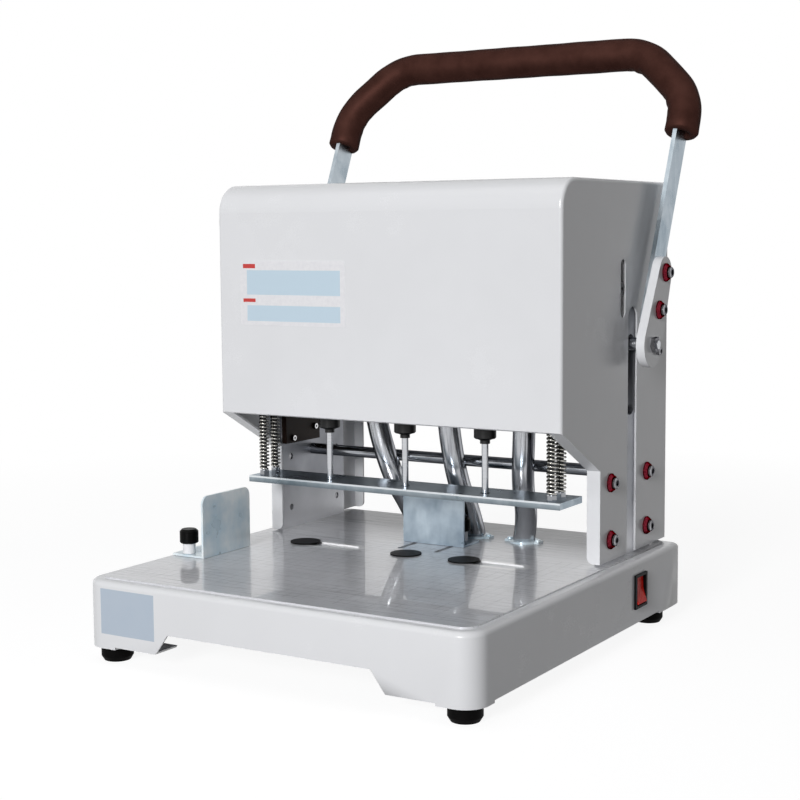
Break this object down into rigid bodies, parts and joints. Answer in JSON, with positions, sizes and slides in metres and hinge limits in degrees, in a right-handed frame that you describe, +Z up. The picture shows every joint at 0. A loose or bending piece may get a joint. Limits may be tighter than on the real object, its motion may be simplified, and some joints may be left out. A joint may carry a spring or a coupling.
{
  "type": "paper drill",
  "caption": "Table-top lever paper drill: a hooped handle lowers a hooded head with hollow drills and a sprung press plate onto a steel table with paper guides.",
  "frame": {"origin": "centre of the part's box, on the surface that the rubber feet stand on", "axes": "+Z up, +X to the machine's right, +Y to its back, away from the person who works the handle"},
  "size_m": [0.42, 0.46, 0.5559],
  "materials": {
    "white_paint": "gloss",
    "stainless": "brushed",
    "zinc": "zinc plated",
    "steel": "ground",
    "grey_paint": "satin",
    "bright_steel": "bright",
    "red_anodised": "anodised",
    "black_steel": "black",
    "black_plastic": "matte",
    "red_plastic": "translucent",
    "brown_board": "laminated",
    "foam": "closed-cell foam",
    "rubber": "matte",
    "hose": "metal hose",
    "belt": "toothless",
    "aluminium": "machined"
  },
  "bodies": {
    "base": {"base_cover": "white_paint", "table_plate": "stainless", "rubber_feet": "rubber", "hood_cover": "white_paint", "hood_back": "white_paint", "side_plate_left": "grey_paint", "side_plate_right": "grey_paint", "rack_left": "steel", "rack_right": "steel", "tie_rod": "zinc", "post_screws": "bright_steel", "post_washers": "red_anodised", "slide_blocks": "brown_board", "guide_column_left": "steel", "guide_column_right": "steel", "column_bridge": "grey_paint", "chip_sockets": "zinc", "pad_centre": "black_plastic", "switch_bezel": "black_plastic", "power_inlet": "black_plastic", "chip_hose_left": "hose", "chip_hose_centre": "hose", "chip_hose_right": "hose"},
    "head": {"head_frame": "aluminium", "motor": "black_steel", "belt_left": "belt", "belt_right": "belt", "belt_motor": "belt", "chip_pipes": "aluminium", "spring_left_front": "bright_steel", "spring_left_rear": "bright_steel", "spring_right_front": "bright_steel", "spring_right_rear": "bright_steel"},
    "left_spindle": {"spindle_left": "black_steel", "drill_left": "steel"},
    "centre_spindle": {"spindle_centre": "black_steel", "drill_centre": "steel"},
    "right_spindle": {"spindle_right": "black_steel", "drill_right": "steel"},
    "motor_rotor": {"motor_pulley": "aluminium"},
    "press": {"press_plate": "zinc", "press_rods": "bright_steel"},
    "handle": {"pinion_shaft": "steel", "lever_left": "aluminium", "lever_right": "aluminium", "handle_frame": "zinc", "foam_grip": "foam", "lever_screws": "bright_steel", "lever_washers": "red_anodised", "shaft_nuts": "bright_steel"},
    "left_pad": {"pad_left": "black_plastic"},
    "right_pad": {"pad_right": "black_plastic"},
    "guide": {"side_guide": "zinc"},
    "guide_knob": {"side_guide_knob": "black_plastic"},
    "gauge": {"back_gauge": "zinc"},
    "gauge_knob_left": {"back_gauge_knob_left": "black_plastic"},
    "gauge_knob_right": {"back_gauge_knob_right": "black_plastic"},
    "switch_rocker": {"rocker": "red_plastic"},
    "stop": {"depth_stop": "bright_steel"},
    "drawer": {"chip_drawer": "grey_paint"}
  },
  "joints": [
    {"name": "head_drop", "type": "slide", "parent": "base", "child": "head", "axis": [0, 0, -1], "range_m": [0, 0.0556], "stiffness_N_per_m": 500, "springref_m": -0.35, "deforming": ["chip_hose_left", "chip_hose_centre", "chip_hose_right"]},
    {"name": "handle_swing", "type": "hinge", "parent": "head", "child": "handle", "pos_m": [0, 0.095, 0.267], "axis": [1, 0, 0], "range_deg": [0, 122.6]},
    {"name": "press_slide", "type": "slide", "parent": "head", "child": "press", "axis": [0, 0, 1], "range_m": [0, 0.042], "stiffness_N_per_m": 600, "springref_m": -0.02, "deforming": ["spring_left_front", "spring_left_rear", "spring_right_front", "spring_right_rear"]},
    {"name": "centre_spin", "type": "hinge", "parent": "head", "child": "centre_spindle", "pos_m": [0, -0.01, 0.24], "axis": [0, 0, 1], "continuous": true},
    {"name": "left_spin", "type": "hinge", "parent": "head", "child": "left_spindle", "pos_m": [-0.083, -0.01, 0.24], "axis": [0, 0, 1], "continuous": true},
    {"name": "right_spin", "type": "hinge", "parent": "head", "child": "right_spindle", "pos_m": [0.083, -0.01, 0.24], "axis": [0, 0, 1], "continuous": true},
    {"name": "motor_spin", "type": "hinge", "parent": "head", "child": "motor_rotor", "pos_m": [-0.0415, 0.046, 0.24], "axis": [0, 0, 1], "continuous": true},
    {"name": "left_pad_slide", "type": "slide", "parent": "base", "child": "left_pad", "axis": [1, 0, 0], "range_m": [0, 0.0515]},
    {"name": "right_pad_slide", "type": "slide", "parent": "base", "child": "right_pad", "axis": [1, 0, 0], "range_m": [0, 0.0515]},
    {"name": "guide_slide", "type": "slide", "parent": "base", "child": "guide", "axis": [1, 0, 0], "range_m": [-0.012, 0.012]},
    {"name": "guide_knob_turn", "type": "hinge", "parent": "guide", "child": "guide_knob", "pos_m": [-0.17, -0.114, 0.09], "axis": [0, 0, 1], "range_deg": [0, 360]},
    {"name": "gauge_slide", "type": "slide", "parent": "base", "child": "gauge", "axis": [0, 1, 0], "range_m": [-0.012, 0.006]},
    {"name": "gauge_left_turn", "type": "hinge", "parent": "gauge", "child": "gauge_knob_left", "pos_m": [-0.0195, 0.06, 0.09], "axis": [0, 0, 1], "range_deg": [0, 360]},
    {"name": "gauge_right_turn", "type": "hinge", "parent": "gauge", "child": "gauge_knob_right", "pos_m": [0.0195, 0.06, 0.09], "axis": [0, 0, 1], "range_deg": [0, 360]},
    {"name": "switch_rock", "type": "hinge", "parent": "base", "child": "switch_rocker", "pos_m": [0.192, 0.0785, 0.0452], "axis": [0, 1, 0], "range_deg": [0, 20]},
    {"name": "stop_slide", "type": "slide", "parent": "base", "child": "stop", "axis": [0, 0, 1], "range_m": [-0.02, 0.02]},
    {"name": "drawer_slide", "type": "slide", "parent": "base", "child": "drawer", "axis": [0, 1, 0], "range_m": [0, 0.11]}
  ],
  "couplings": [
    {"joint": "handle_swing", "follows": "head_drop", "rad_per_m": 38.462},
    {"joint": "left_spin", "follows": "centre_spin", "ratio": 1},
    {"joint": "right_spin", "follows": "centre_spin", "ratio": 1},
    {"joint": "motor_spin", "follows": "centre_spin", "ratio": 1.4286}
  ]
}
